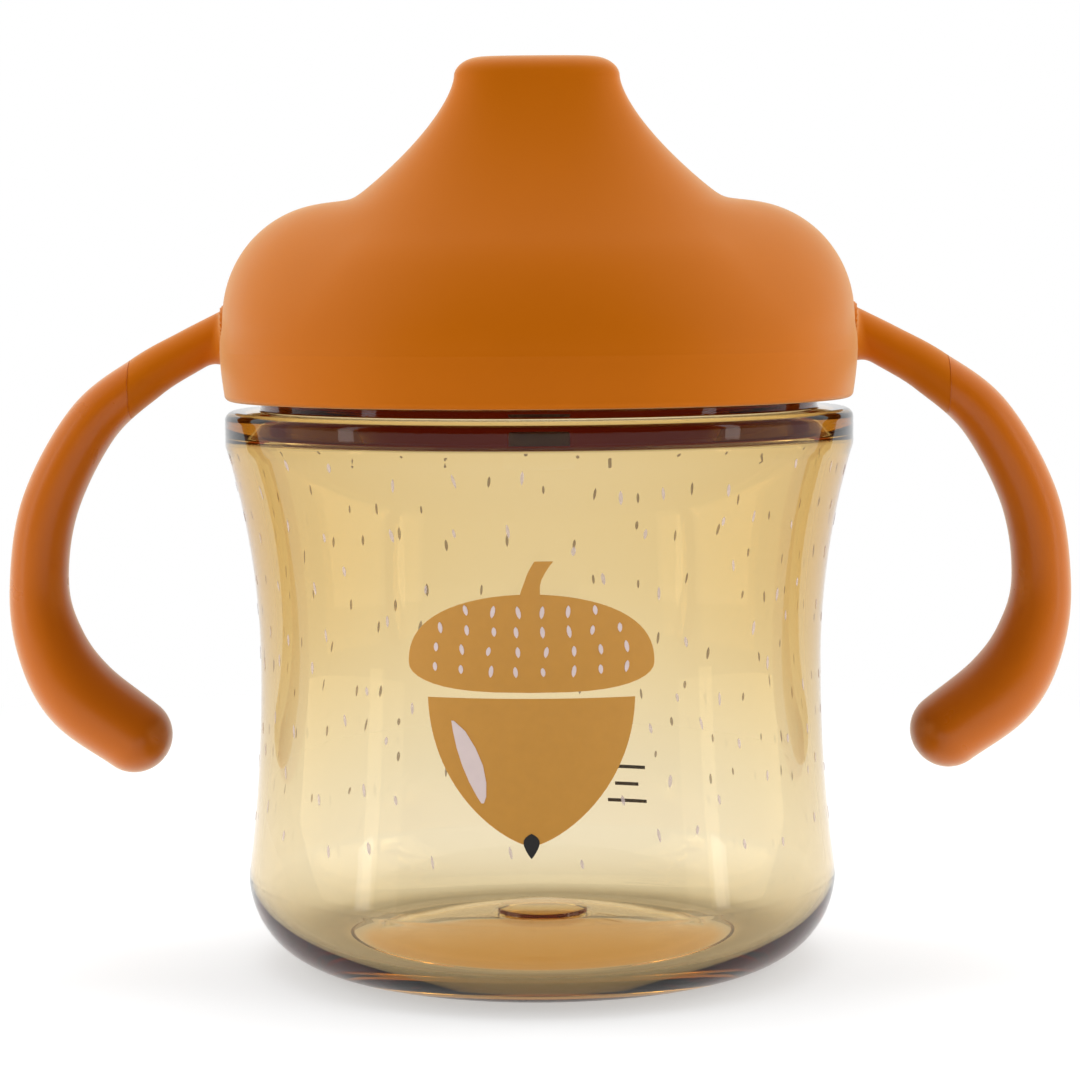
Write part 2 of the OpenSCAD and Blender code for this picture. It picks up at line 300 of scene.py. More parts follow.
def silicone():
    material, tree, shader = new_material("silicone")
    varied_colour(tree, shader, (0.80, 0.78, 0.73), noise(tree, 120), 0.04)
    tree.links.new(spread(tree, noise(tree, 300), 0.42, 0.52), shader.inputs["Roughness"])
    bump(tree, shader, noise(tree, 3500), 0.01)
    shader.inputs["Subsurface Weight"].default_value = 0.4
    shader.inputs["Subsurface Radius"].default_value = (1, 0.9, 0.8)
    shader.inputs["Subsurface Scale"].default_value = 1.2 * MM
    return material


def ink(name, colour, cover=1.0):
    """Matt screen-printing ink. cover is the share of light it stops."""
    material, tree, shader = new_material(name)
    varied_colour(tree, shader, colour, noise(tree, 700), 0.05)
    tree.links.new(spread(tree, noise(tree, 1500), 0.42, 0.55), shader.inputs["Roughness"])
    bump(tree, shader, noise(tree, 9000, detail=1), 0.003)
    shader.inputs["Alpha"].default_value = cover
    return material


def clear_plastic():
    """Amber copolyester: clear, polished and tinted by the depth of plastic that light crosses."""
    material, tree, shader = new_material("clear_plastic")
    shader.inputs["Base Color"].default_value = (1, 1, 1, 1)
    shader.inputs["Transmission Weight"].default_value = 1
    shader.inputs["IOR"].default_value = 1.33
    shader.inputs["Roughness"].default_value = 0.0
    tint = tree.nodes.new("ShaderNodeVolumeAbsorption")
    tint.inputs["Color"].default_value = (0.80, 0.58, 0.0, 1)
    tint.inputs["Density"].default_value = 255
    open_way = tree.nodes.new("ShaderNodeBsdfTransparent")
    path = tree.nodes.new("ShaderNodeLightPath")
    mix = tree.nodes.new("ShaderNodeMixShader")
    output = tree.nodes["Material Output"]
    tree.links.new(path.outputs["Is Shadow Ray"], mix.inputs["Fac"])
    tree.links.new(shader.outputs["BSDF"], mix.inputs[1])
    tree.links.new(open_way.outputs["BSDF"], mix.inputs[2])
    tree.links.new(mix.outputs["Shader"], output.inputs["Surface"])
    tree.links.new(tint.outputs["Volume"], output.inputs["Volume"])
    return material


# ---- screw thread ----

PITCH = 4
THREAD_TURNS = 1.25
THREAD_FADE = 0.08
CUP_THREAD_Z = shoulder_z + 3.4
LID_THREAD_TURN = TURN / 4
LID_THREAD_Z = CUP_THREAD_Z + PITCH / 4 - 1.6


def thread(name, wall, height, start_z, start_turn, steps=200):
    """A helical ridge that grows out of a wall, or inwards where its height is negative."""
    section = [(-0.4, -1.0), (0, -0.98), (0.45, -0.78), (0.88, -0.52), (1, -0.3),
               (1, 0.3), (0.88, 0.52), (0.45, 0.78), (0, 0.98), (-0.4, 1.0)]
    rings = []
    for j in range(steps + 1):
        t = j / steps
        turn = start_turn + TURN * THREAD_TURNS * t
        rise = start_z + PITCH * THREAD_TURNS * t
        size = height * max(0.03, smooth_step(min(t, 1 - t) / THREAD_FADE))
        ring = []
        for out, up in section:
            radius = wall + (size * out if out > 0 else out * math.copysign(1, height))
            ring.append((radius * math.cos(turn), radius * math.sin(turn), rise + up))
        rings.append(ring[::-1] if height > 0 else ring)
    return loft(name, rings)


# ---- tumbler ----

FLARE_R = 98
TAPER_R = 190
HEEL_Z = 11.2
CORNER_R = 1.2
SLOPE_ROUND = 1.2
KICK_R = 22
RECESS_Z = 1
FLOOR_Z = 2.4
THICK_Z = 58
KICK_RISE = 3.4
DISC_R = 5.8


def wall_radius(height):
    """Outer radius of the waisted wall, and of the heel below it."""
    if height < HEEL_Z:
        top = wall_radius(HEEL_Z)
        return foot_r + (top - foot_r) * math.sqrt(1 - (1 - height / HEEL_Z) ** 2)
    r = TAPER_R if height < waist_z else FLARE_R
    return waist_r + r - math.sqrt(r * r - (height - waist_z) ** 2)


def arc(centre_r, centre_z, w, h, start, end, steps):
    """Points along an arc, or along an oval where its width differs from its height."""
    turns = [math.radians(start + (end - start) * i / steps) for i in range(steps + 1)]
    return [(centre_r + w * math.cos(a), centre_z + h * math.sin(a)) for a in turns]


def thickness(height):
    return heel_t + (wall_t - heel_t) * smooth_step((height - HEEL_Z) / (THICK_Z - HEEL_Z))


def wall(share, low, high, steps=60):
    """Points up the wall between two heights, inset by a share of its thickness."""
    heights = [low + (high - low) * i / steps for i in range(steps + 1)]
    return [(min(shoulder_r, wall_radius(z)) - share * thickness(z), z) for z in heights]


def kick(start_r, base, steps=16):
    """Points over the domed kick-up of the base, from a radius outwards."""
    r = (KICK_R ** 2 + KICK_RISE ** 2) / (2 * KICK_RISE)
    radii = [start_r + (KICK_R - start_r) * i / steps for i in range(steps + 1)]
    return [(x, base + KICK_RISE - r + math.sqrt(r * r - x * x)) for x in radii]


def tumbler_outline():
    flare_end = waist_z + math.sqrt(FLARE_R ** 2 - (FLARE_R + waist_r - shoulder_r) ** 2)
    slope_r = shoulder_r - wall_t
    slope_end_z = slope_z + slope_r - mouth_r + 2 * SLOPE_ROUND * math.tan(TURN / 16)
    disc_z = FLOOR_Z + KICK_RISE
    heel_w = wall_radius(HEEL_Z) - foot_r
    outside = (
        kick(0, RECESS_Z)
        + arc(foot_r - 2 - 0.3, RECESS_Z - 0.3, 0.3, 0.3, 90, 0, 5)
        + arc(foot_r - 2 + 0.3, 0.3, 0.3, 0.3, 180, 270, 5)
        + arc(foot_r, HEEL_Z, heel_w, HEEL_Z, -90, -2, 44)
        + wall(0, HEEL_Z, flare_end)
        + arc(shoulder_r - CORNER_R, shoulder_z - CORNER_R, CORNER_R, CORNER_R, 0, 90, 14)
        + arc(neck_r + 0.3, shoulder_z + 0.3, 0.3, 0.3, 270, 180, 5)
        + arc(neck_r - 0.6, rim_z - 0.6, 0.6, 0.6, 0, 90, 8))
    inside = (
        arc(mouth_r + 0.4, rim_z - 0.4, 0.4, 0.4, 90, 180, 5)
        + arc(mouth_r + SLOPE_ROUND, slope_end_z, SLOPE_ROUND, SLOPE_ROUND, 180, 225, 8)
        + arc(slope_r - SLOPE_ROUND, slope_z, SLOPE_ROUND, SLOPE_ROUND, 45, 4, 8)
        + wall(1, HEEL_Z, slope_z)[::-1]
        + arc(foot_r, HEEL_Z, heel_w - heel_t, HEEL_Z - FLOOR_Z, -2, -90, 44)
        + kick(DISC_R + 0.25, FLOOR_Z)[::-1]
        + [(DISC_R, disc_z - 0.2), (DISC_R - 0.1, disc_z + 0.3), (DISC_R - 0.3, disc_z + 0.4),
           (0, disc_z + 0.4)])
    return outside + inside


def make_tumbler():
    tumbler = lathe("tumbler", tumbler_outline())
    combine(tumbler, thread("cup_thread", neck_r, 1.2, CUP_THREAD_Z, 0))
    finish_piece(tumbler, "cup", "cup_plastic", clear_plastic(), "cup_body")


# ---- printed decoration ----

INK_LOW = 0.012
INK_T = 0.04
MOTIF_ACROSS = -1.2
CAP_LOW = 38.6
CAP_HIGH = 50.2
CAP_HALF = 14.8
NUT_LOW = 20.6
NUT_HIGH = 38.6
NUT_HALF = 12.4
FLECK_LOW = 17
FLECK_HIGH = 66
FLECK_ROWS = 8
FLECK_COLUMNS = 29
LEVEL_ACROSS = -12


def printed(name, around, shapes, layer=0, columns=1):
    """Thin patches of ink on the wall. A shape is a list of rows (height, left, right)."""
    points, faces = [], []
    for rows in shapes:
        base = len(points)
        wide = columns + 1
        low = INK_LOW + layer * 1.2 * INK_T
        for lift in (low, low + INK_T):
            for height, left, right in rows:
                for i in range(wide):
                    angle = around + (left + (right - left) * i / columns) / waist_r
                    radius = wall_radius(height) + lift
                    points.append((radius * math.cos(angle), radius * math.sin(angle), height))
        count = len(rows) * wide

        def at(lift, j, i):
            return base + lift * count + j * wide + i

        for j in range(len(rows) - 1):
            for i in range(columns):
                faces.append((at(1, j, i), at(1, j, i + 1), at(1, j + 1, i + 1), at(1, j + 1, i)))
                faces.append((at(0, j, i), at(0, j + 1, i), at(0, j + 1, i + 1), at(0, j, i + 1)))
            faces.append((at(0, j, 0), at(1, j, 0), at(1, j + 1, 0), at(0, j + 1, 0)))
            faces.append((at(1, j, columns), at(0, j, columns), at(0, j + 1, columns), at(1, j + 1, columns)))
        last = len(rows) - 1
        for i in range(columns):
            faces.append((at(0, 0, i), at(0, 0, i + 1), at(1, 0, i + 1), at(1, 0, i)))
            faces.append((at(1, last, i), at(1, last, i + 1), at(0, last, i + 1), at(0, last, i)))
    return build(name, points, faces)


def rows_between(low, high, half, steps, middle=MOTIF_ACROSS):
    """Rows of a shape whose half width at a height is half(height)."""
    rows = []
    for j in range(steps + 1):
        height = low + (high - low) * (1 - math.cos(TURN / 2 * j / steps)) / 2
        width = max(0.04, half(height))
        rows.append((height, middle - width, middle + width))
    return rows


def cap_half(height):
    """Half width of the acorn's cap: a low dome over a bowed lower edge."""
    widest = CAP_LOW + 3.2
    if height > widest:
        return CAP_HALF * max(0, 1 - ((height - widest) / (CAP_HIGH - widest)) ** 2.3) ** 0.5
    return CAP_HALF * max(0, 1 - ((widest - height) / (widest - CAP_LOW)) ** 2) ** 0.32


def nut_half(height):
    """Half width of the nut, which narrows to a point."""
    drop = (NUT_HIGH - height) / (NUT_HIGH - NUT_LOW)
    return NUT_HALF * max(0, 1 - max(0, drop) ** 2.1) ** 0.72


def tip_half(height):
    """Half width of the dark point under the nut."""
    share = (height - (NUT_LOW - 1.4)) / 2.9
    return 1.6 * share ** 0.8 * (1 - share ** 4)


def dash(across, height, width, length, lean):
    """A short pointed stroke of the brush."""
    rows = []
    for share, size in ((-0.5, 0.12), (-0.3, 0.75), (0, 1), (0.3, 0.8), (0.5, 0.15)):
        middle = across + lean * share * length
        rows.append((height + share * length, middle - width * size / 2, middle + width * size / 2))
    return rows


def motif_covers(across, height):
    margin = 1.6
    across = abs(across - MOTIF_ACROSS)
    if CAP_LOW - margin < height < CAP_HIGH + margin:
        return across < cap_half(min(max(height, CAP_LOW + 1), CAP_HIGH - 2)) + margin
    if NUT_LOW - margin < height < NUT_HIGH:
        return across < nut_half(max(height, NUT_LOW)) + margin
    return CAP_HIGH < height < CAP_HIGH + 6 and across < 3


def flecks():
    """Small strokes all round the wall, on a loose grid, that leave the motif free."""
    draw = random.Random(11)
    found = []
    for row in range(FLECK_ROWS):
        for column in range(FLECK_COLUMNS):
            step = TURN * waist_r / FLECK_COLUMNS
            across = (column + 0.5 * (row % 2) + draw.uniform(-0.3, 0.3)) * step - TURN * waist_r / 2
            share = (row + 0.5 + draw.uniform(-0.34, 0.34)) / FLECK_ROWS
            height = FLECK_LOW + (FLECK_HIGH - FLECK_LOW) * share
            width = draw.uniform(0.32, 0.55)
            length = draw.uniform(1.0, 1.7)
            lean = draw.uniform(-0.25, 0.12)
            if not motif_covers(across, height):
                found.append(dash(across, height, width, length, lean))
    return found


def cap_dashes():
    """Pale strokes on the acorn's cap, in rows like its scales."""
    draw = random.Random(4)
    found = []
    for row in range(4):
        height = CAP_LOW + 2.4 + row * 2.35
        reach = cap_half(height) - 1.6
        count = int(2 * reach / 2.9)
        for i in range(count):
            across = MOTIF_ACROSS + reach * (2 * (i + 0.5) / count - 1) + draw.uniform(-0.25, 0.25)
            bow = 0.9 * ((across - MOTIF_ACROSS) / CAP_HALF) ** 2
            found.append(dash(across, height + bow, 0.55, draw.uniform(1.0, 1.5), draw.uniform(-0.2, 0.2)))
    return found


def stalk_rows():
    rows = []
    for j in range(9):
        t = j / 8
        middle = MOTIF_ACROSS + 1.6 * t * t
        half = 1.15 - 0.35 * smooth_step(2 * t) + 0.25 * t
        rows.append((CAP_HIGH - 0.5 + 4.4 * t, middle - half, middle + half))
    return rows


def highlight_rows():
    """A pale leaf shape inside the nut's left edge."""
    rows = []
    for height, width in ((35.2, 0.3), (34, 1.5), (32, 2.3), (30, 2.5), (28, 2.0), (26.4, 1.1), (25.6, 0.3)):
        left = MOTIF_ACROSS - nut_half(height) * 0.78
        rows.append((height, left, left + width))
    return rows


def level_marks():
    """Three plain bars on the back, which show how full the cup is."""
    bars = []
    for height, length in ((14.5, 5.6), (17, 3.4), (19.5, 5.6)):
        left, right = LEVEL_ACROSS - length / 2, LEVEL_ACROSS + length / 2
        bars.append([(height, left, right), (height + 0.5, left, right)])
    return bars


def make_prints():
    brown = ink("ink_brown", (0.62, 0.285, 0.036))
    lilac = ink("ink_lilac", (0.80, 0.65, 0.62))
    thin_lilac = ink("ink_thin_lilac", (0.76, 0.62, 0.60), cover=0.45)
    dark = ink("ink_dark", (0.012, 0.010, 0.009))
    gap = 0.7
    cap = rows_between(CAP_LOW, CAP_HIGH, cap_half, 28)
    nut = rows_between(NUT_LOW, NUT_HIGH - gap, nut_half, 28)
    point = rows_between(NUT_LOW - 1.4, NUT_LOW + 1.5, tip_half, 12)
    pieces = [
        (printed("acorn_cap", FRONT, [cap], columns=28), brown),
        (printed("acorn_nut", FRONT, [nut], columns=24), brown),
        (printed("acorn_stalk", FRONT, [stalk_rows()], layer=1, columns=2), brown),
        (printed("acorn_tip", FRONT, [point], layer=1, columns=4), dark),
        (printed("acorn_dashes", FRONT, cap_dashes(), layer=1), lilac),
        (printed("acorn_highlight", FRONT, [highlight_rows()], layer=1, columns=2), lilac),
        (printed("flecks", FRONT, flecks()), thin_lilac),
        (printed("level_marks", BACK, level_marks(), columns=4), dark),
    ]
    for piece, material in pieces:
        finish_piece(piece, "cup", "cup_plastic", material)


# ---- lid ----

SPOUT_Y = 18
TIP_W = 10
TIP_D = 5.6
TIP_ROUND = 2.4
TIP_INSET = 3.5
TIP_POWER = 2.6
FLANK_DROP = 25.9
FLANK_POWER = 2 / 3
EDGE_SHARE = 0.35
EDGE_POWER = 2.5
BACK_SPREAD = 0.75
CREASE_W = 0.7
DOME_SIDE_Z = 82
DOME_FLAT_R = 26
DOME_LEAN = 0.4
DOME_FRONT = (-45, -5)
CHANNEL_HALF = 3.8
CHANNEL_R = 3.7
CHANNEL_T = 1.2
VENT_Y = 12
VENT_R = 2
VENT_HOLE_R = 0.6
VENT_T = 1.2
VENT_LOW = 88
HOLE_R = 1.2
HOLE_STEP = 4.4
PLUG_R = 31.4
PLUG_T = 1.4
PLUG_Z = (79.6, 83.1, 84.6)
LID_SIDES = 224
LID_RINGS = 84


def signed_power(x, power):
    return math.copysign(abs(x) ** power, x)


def dome_height(r, t):
    """Height of the dome behind the spout at a radius, inset by t from its outer face."""
    edge = skirt_bore if t else lid_r - DOME_LEAN
    out = (r - DOME_FLAT_R) / (edge - DOME_FLAT_R)
    if out <= 0:
        return dome_z - t
    if out <= 1:
        return DOME_SIDE_Z + (dome_z - t - DOME_SIDE_Z) * math.sqrt(1 - out * out)
    return parting_z + (DOME_SIDE_Z - parting_z) * min(1, max(0, lid_r - r) / DOME_LEAN)


def flank_height(s, angle, t):
    """Height of the spout's flank at share s of the way from the skirt to the tip."""
    spread = 1 + BACK_SPREAD * max(0, math.sin(angle)) ** 2
    edge = (1 - (1 - min(1, s / EDGE_SHARE)) ** EDGE_POWER) ** (1 / EDGE_POWER)
    tip = spout_z - TIP_ROUND - t
    return parting_z + edge * (tip - parting_z - FLANK_DROP * (spread * (1 - s)) ** FLANK_POWER)


def lid_ring(s, t):
    """Ring of the lid's surface, inset by t, at share s of the way from the skirt to the tip."""
    ring = []
    bore = skirt_bore if t else lid_r
    for i in range(LID_SIDES):
        angle = TURN * (i + 0.5) / LID_SIDES - TURN / 2
        tip_x = (TIP_W - t) * signed_power(math.cos(angle), 2 / TIP_POWER)
        tip_y = (TIP_D - t) * signed_power(math.sin(angle), 2 / TIP_POWER) - SPOUT_Y
        x = (1 - s) * bore * math.cos(angle) + s * tip_x
        y = (1 - s) * bore * math.sin(angle) + s * tip_y
        flank = flank_height(s, angle, t)
        rise = dome_height(math.hypot(x, y), t) - flank
        degrees = math.degrees(angle)
        front = -180 - degrees if degrees < -90 else degrees
        share = smooth_step((front - DOME_FRONT[0]) / (DOME_FRONT[1] - DOME_FRONT[0]))
        if degrees > 90:
            share = 1
        crease = CREASE_W * min(1, 8 * s)
        ring.append((x, y, flank + share * (rise + math.hypot(rise, crease)) / 2))
    return ring


def round_ring(r, z):
    turns = [TURN * (i + 0.5) / LID_SIDES - TURN / 2 for i in range(LID_SIDES)]
    return [(r * math.cos(a), r * math.sin(a), z) for a in turns]


def tip_ring(t, inset, rise):
    """Ring of the spout's tip, drawn in from its edge and raised above it."""
    height = spout_z - TIP_ROUND - t + rise
    return [(x * (1 - inset / TIP_W), (y + SPOUT_Y) * (1 - inset / TIP_D) - SPOUT_Y, height)
            for x, y, _ in lid_ring(1, t)]


def outer_rings():
    rings = [round_ring(skirt_r - 0.8 + 0.8 * math.sin(a), skirt_z + 0.8 - 0.8 * math.cos(a))
             for a in (TURN / 4 * i / 8 for i in range(9))]
    rings += [round_ring(skirt_r + (lid_r - skirt_r) * math.sin(TURN / 4 * h),
                         skirt_z + 0.8 + (parting_z - skirt_z - 0.8) * h) for h in (0.2, 0.4, 0.6, 0.8, 0.93)]
    rings += [round_ring(lid_r + 0.02, parting_z - 0.2), round_ring(lid_r + 0.02, parting_z - 0.1)]
    rings += [lid_ring(smooth_step(j / LID_RINGS), 0) for j in range(LID_RINGS + 1)]
    turns = [TURN / 4 * i / 10 for i in range(1, 11)]
    rings += [tip_ring(0, TIP_INSET * (1 - math.cos(a)), TIP_ROUND * math.sin(a)) for a in turns]
    rings += [tip_ring(0, inset, TIP_ROUND) for inset in (4, 4.7)]
    return rings


def inner_rings():
    rings = [round_ring(skirt_bore + 0.4, skirt_z), round_ring(skirt_bore, skirt_z + 0.4)]
    rings += [lid_ring(smooth_step(j / LID_RINGS), dome_t) for j in range(LID_RINGS + 1)]
    return rings + [tip_ring(dome_t, 0.3, TIP_ROUND)]


# ---- handles ----

# Centre line from inside the lid's wall to the tip: distance out, height, half thickness
HANDLE_PATH = [
    (38.4, 81, 2.7), (44.5, 77.9, 2.75), (50.1, 74.6, 2.95), (57, 68.8, 3.35), (62.6, 58.4, 3.6),
    (64.2, 48, 3.75), (62.8, 40.3, 4.4), (59.1, 34, 5), (52.3, 28.7, 4.8)]
GRIP_ASPECT = 1.25
ARM_LAST = 3
GRIP_FIRST = 1.67
SEAM_Z = 72.5
SEAM_BOX = 24
SEAM_GROOVE = 0.06
SEAM_CORE = 0.975
HANDLE_SIDES = 64
HANDLE_STEPS = 14
ARM_STEPS = 30
ROOT_TOP = 0.5
ROOT_UNDER = 2.2


def handle_point(t):
    """Point and half thickness of the handle's smooth line at t, which counts the path's points."""
    i = max(0, min(math.floor(t), len(HANDLE_PATH) - 2))
    f = t - i
    b, c = Vector(HANDLE_PATH[i]), Vector(HANDLE_PATH[i + 1])
    a = Vector(HANDLE_PATH[i - 1]) if i > 0 else 2 * b - c
    d = Vector(HANDLE_PATH[i + 2]) if i + 2 < len(HANDLE_PATH) else 2 * c - b
    return (b + f * (c - a) / 2 + f * f * (a - 2.5 * b + 2 * c - d / 2)
            + f * f * f * (3 * b - a - 3 * c + d) / 2)


def handle_ring(t, ahead=0.0, factor=1.0):
    """Oval section of the handle at t, moved on by ahead and shrunk by a factor."""
    p = handle_point(t)
    q = handle_point(t + 0.01) - handle_point(t - 0.01)
    along = Vector((q[0], q[1])).normalized()
    half = p[2] * factor
    ring = []
    for i in range(HANDLE_SIDES):
        angle = TURN * i / HANDLE_SIDES
        out = half * math.cos(angle)
        ring.append((p[0] + along[0] * ahead - along[1] * out, -half * GRIP_ASPECT * math.sin(angle),
                     p[1] + along[1] * ahead + along[0] * out))
    return ring


def handle_rings(first, last, factor=1.0):
    steps = round((last - first) * HANDLE_STEPS)
    return [handle_ring(first + (last - first) * j / steps, factor=factor) for j in range(steps + 1)]


def handle_side(name, rings, core, keep, hand):
    """The part of a handle on one side of the seam's upright plane, with half of its fine groove.

    keep is 1 for the grip and -1 for the arm. hand is 1 for the right and -1 for the left.
    """
    whole = loft(name, rings if hand > 0 else mirrored(rings))
    inner = loft("core", core if hand > 0 else mirrored(core))
    for piece, gap in ((whole, SEAM_GROOVE), (inner, 0)):
        middle = hand * (seam_x + keep * (gap - SEAM_BOX / 2))
        combine(piece, block("seam_block", (middle, 0, SEAM_Z), SEAM_BOX), "DIFFERENCE")
    combine(whole, inner)
    return whole


def filleted(ring, t):
    """A ring of the arm, spread out where it is close to the lid: most underneath, hardly on top."""
    middle = handle_point(t)
    result = []
    for i, (x, y, z) in enumerate(ring):
        under = (1 - math.cos(TURN * i / HANDLE_SIDES)) / 2
        reach = ROOT_TOP + (ROOT_UNDER - ROOT_TOP) * under
        gap = min(1.0, max(0.0, (math.hypot(x, y) - lid_r + 0.25) / reach))
        grown = 1 + reach * (1 - math.sqrt(1 - (1 - gap) ** 2)) / middle[2]
        result.append((middle[0] + (x - middle[0]) * grown, y * grown,
                       middle[1] + (z - middle[1]) * grown))
    return result


def make_arm(hand):
    core = handle_rings(GRIP_FIRST, ARM_LAST - 0.2, SEAM_CORE)
    steps = ARM_LAST * ARM_STEPS
    rings = [filleted(handle_ring(j / ARM_STEPS), j / ARM_STEPS) for j in range(steps + 1)]
    return handle_side("arm", rings, core, -1, hand)


def make_grip(name, hand):
    last = len(HANDLE_PATH) - 1
    tip_r = HANDLE_PATH[last][2]
    turns = [TURN / 4 * i / 16 for i in range(1, 16)]
    tip = [handle_ring(last, tip_r * math.sin(a), math.cos(a)) for a in turns]
    core = handle_rings(GRIP_FIRST, ARM_LAST, SEAM_CORE)
    return handle_side(name, handle_rings(GRIP_FIRST, last) + tip, core, 1, hand)


def hole(name, x, y, radius, low, high):
    """A cutter for a round hole, whose mouth at the top is chamfered."""
    chamfer = 0.35
    outline = [(0, low), (radius, low), (radius, high - chamfer), (radius + chamfer, high),
               (radius + chamfer, high + 1), (0, high + 1)]
    tool = lathe(name, outline, 64)
    tool.data.transform(Matrix.Translation((x * MM, y * MM, 0)))
    return tool


def make_lid():
    lid = loft("lid", inner_rings()[::-1] + outer_rings())
    # Ring that reaches into the mouth, with the flange that presses on the gasket
    low, flange, high = PLUG_Z
    outer = PLUG_R + PLUG_T
    plug = [(PLUG_R, low), (outer - 0.2, low), (outer, low + 0.2), (outer, flange),
            (skirt_bore + 0.4, flange), (skirt_bore + 0.4, high), (PLUG_R, high)]
    combine(lid, lathe("plug", plug, sides=LID_SIDES))
    tube = loft("channel", [stadium(CHANNEL_HALF, CHANNEL_R + CHANNEL_T, -SPOUT_Y, z)
                            for z in (valve_low.z + 1.5, spout_z - TIP_ROUND - 1)])
    combine(lid, tube)
    vent_r = VENT_R + VENT_T
    top = dome_z - dome_t + 0.8
    vent = lathe("vent", [(0, VENT_LOW), (vent_r, VENT_LOW), (vent_r, top), (0, top)], 96)
    vent.data.transform(Matrix.Translation((0, VENT_Y * MM, 0)))
    combine(lid, vent)
    for hand in (1, -1):
        combine(lid, make_arm(hand))
    space = loft("space", [stadium(CHANNEL_HALF, CHANNEL_R, -SPOUT_Y, z) for z in (80, spout_z - dome_t)])
    combine(lid, space, "DIFFERENCE")
    for i in (-1, 0, 1):
        drinking_hole = hole("drinking_hole", i * HOLE_STEP, -SPOUT_Y, HOLE_R, spout_z - 6, spout_z)
        combine(lid, drinking_hole, "DIFFERENCE")
    combine(lid, hole("vent_space", 0, VENT_Y, VENT_R, 80, dome_z - dome_t - 1), "DIFFERENCE")
    combine(lid, hole("vent_hole", 0, VENT_Y, VENT_HOLE_R, 80, dome_z), "DIFFERENCE")
    combine(lid, thread("lid_thread", skirt_bore, -1.3, LID_THREAD_Z, LID_THREAD_TURN))
    material = moulded_plastic("lid_plastic", LID_COLOUR, 0.4, 0.06)
    finish_piece(lid, "lid", "lid_plastic", material, "lid_shell")


def make_grips():
    material = moulded_plastic("grip_plastic", GRIP_COLOUR, 0.3, 0.3)
    for name, hand, node in (("grip_r", 1, "grip_right"), ("grip_l", -1, "grip_left")):
        finish_piece(make_grip(name, hand), "lid", "grip_plastic", material, node)


# ---- seals ----

RUBBER_T = 1.5
FIT_GAP = 0.08
WEB_T = 1.42
TAB_R = 4.5
TAB_OUT = 7
RIB_STEP = 1.4
SLIT_HALF = 2.5
SLIT_W = 0.15


def make_gasket():
    low, high = gasket_low.z, gasket_high.z
    inner = mouth_r - 0.25
    outer = gasket_high.x
    round_r = 0.3
    outline = (arc(inner + round_r, low + round_r, round_r, round_r, 180, 270, 6)
               + arc(outer - round_r, low + round_r, round_r, round_r, 270, 360, 6)
               + arc(outer - round_r, high - round_r, round_r, round_r, 0, 90, 6)
               + arc(inner + round_r, high - round_r, round_r, round_r, 90, 180, 6))
    gasket = lathe("gasket_ring", outline)
    finish_piece(gasket, "gasket", "seal_rubber", silicone(), "rim_gasket")


def slab(half, start_y, end_y, z):
    return [(-half, start_y, z), (half, start_y, z), (half, end_y, z), (-half, end_y, z)]


def make_valve():
    low, high = valve_low.z, valve_high.z
    web_z = low + WEB_T
    fit = CHANNEL_R + CHANNEL_T + FIT_GAP
    vent_fit = VENT_R + VENT_T + FIT_GAP
    tab_y = VENT_Y + TAB_OUT

    def cup_shape(inset, z):
        return stadium(CHANNEL_HALF, fit + RUBBER_T - inset, -SPOUT_Y, z)

    def vent_shape(inset, z):
        return stadium(0.01, vent_fit + RUBBER_T - inset, VENT_Y, z)

    def web_shape(inset, z):
        return slab(TAB_R - inset, -SPOUT_Y, tab_y, z)

    def tab_shape(inset, z):
        return stadium(0.01, TAB_R - inset, tab_y, z)

    cup = rounded_prism("valve", cup_shape, low, high, 0.4)
    combine(cup, rounded_prism("vent_cup", vent_shape, low, high, 0.4))
    combine(cup, rounded_prism("web", web_shape, low, web_z, 0.3))
    combine(cup, rounded_prism("tab", tab_shape, low, web_z, 0.3))
    for i in range(3):
        start = tab_y - 0.4 + RIB_STEP * i

        def rib_shape(inset, z):
            return slab(3 - inset, start + inset, start + 0.6 - inset, z)

        combine(cup, rounded_prism("rib", rib_shape, low, web_z, 0.1))
    seat = low + RUBBER_T - FIT_GAP
    spout_seat = [stadium(CHANNEL_HALF, fit, -SPOUT_Y, z) for z in (seat, high + 1)]
    vent_seat = [stadium(0.01, vent_fit, VENT_Y, z) for z in (seat, high + 1)]
    combine(cup, loft("seat", spout_seat), "DIFFERENCE")
    combine(cup, loft("vent_seat", vent_seat), "DIFFERENCE")
    combine(cup, hole("vent_hole", 0, VENT_Y, VENT_HOLE_R, low - 1, high), "DIFFERENCE")
    for half_x, half_y in ((SLIT_HALF, SLIT_W), (SLIT_W, SLIT_HALF)):
        ends = [slab(half_x, -SPOUT_Y - half_y, -SPOUT_Y + half_y, z) for z in (low - 1, seat + 1)]
        combine(cup, loft("slit", ends), "DIFFERENCE")
    finish_piece(cup, "valve", "seal_rubber", silicone(), "spout_valve")


# ---- studio ----

FLOOR_R = 6000
FLOOR_FADE = (90, 260)
FLOOR_WHITE = 0.62
# Glow of the floor near the cup, as seen directly and through the plastic
FLOOR_GLOW = 0.48
FLOOR_SEEN_THROUGH = 0.22
# Radii between which the painted caustic, an amber glow under the base, fades out, and its colour
PAINTED_CAUSTIC_EDGE = (22, 26.5)
PAINTED_CAUSTIC_COLOUR = (0.53, 0.28, 0.06, 1)
SIDE_POWER = 4.6
STRIP_POWER = 0.3
TOP_POWER = 8
# Start and end of a ramp over the view's direction in Y, then the world's brightness at both
WORLD_SEEN_BY_SURFACES = (-0.5, 0.7, 0.06, 0.9)
WORLD_SEEN_THROUGH = (-0.9, 0.3, 0.5, 0.84)


def constant(tree, number):
    node = tree.nodes.new("ShaderNodeValue")
    node.outputs[0].default_value = number
    return node.outputs[0]


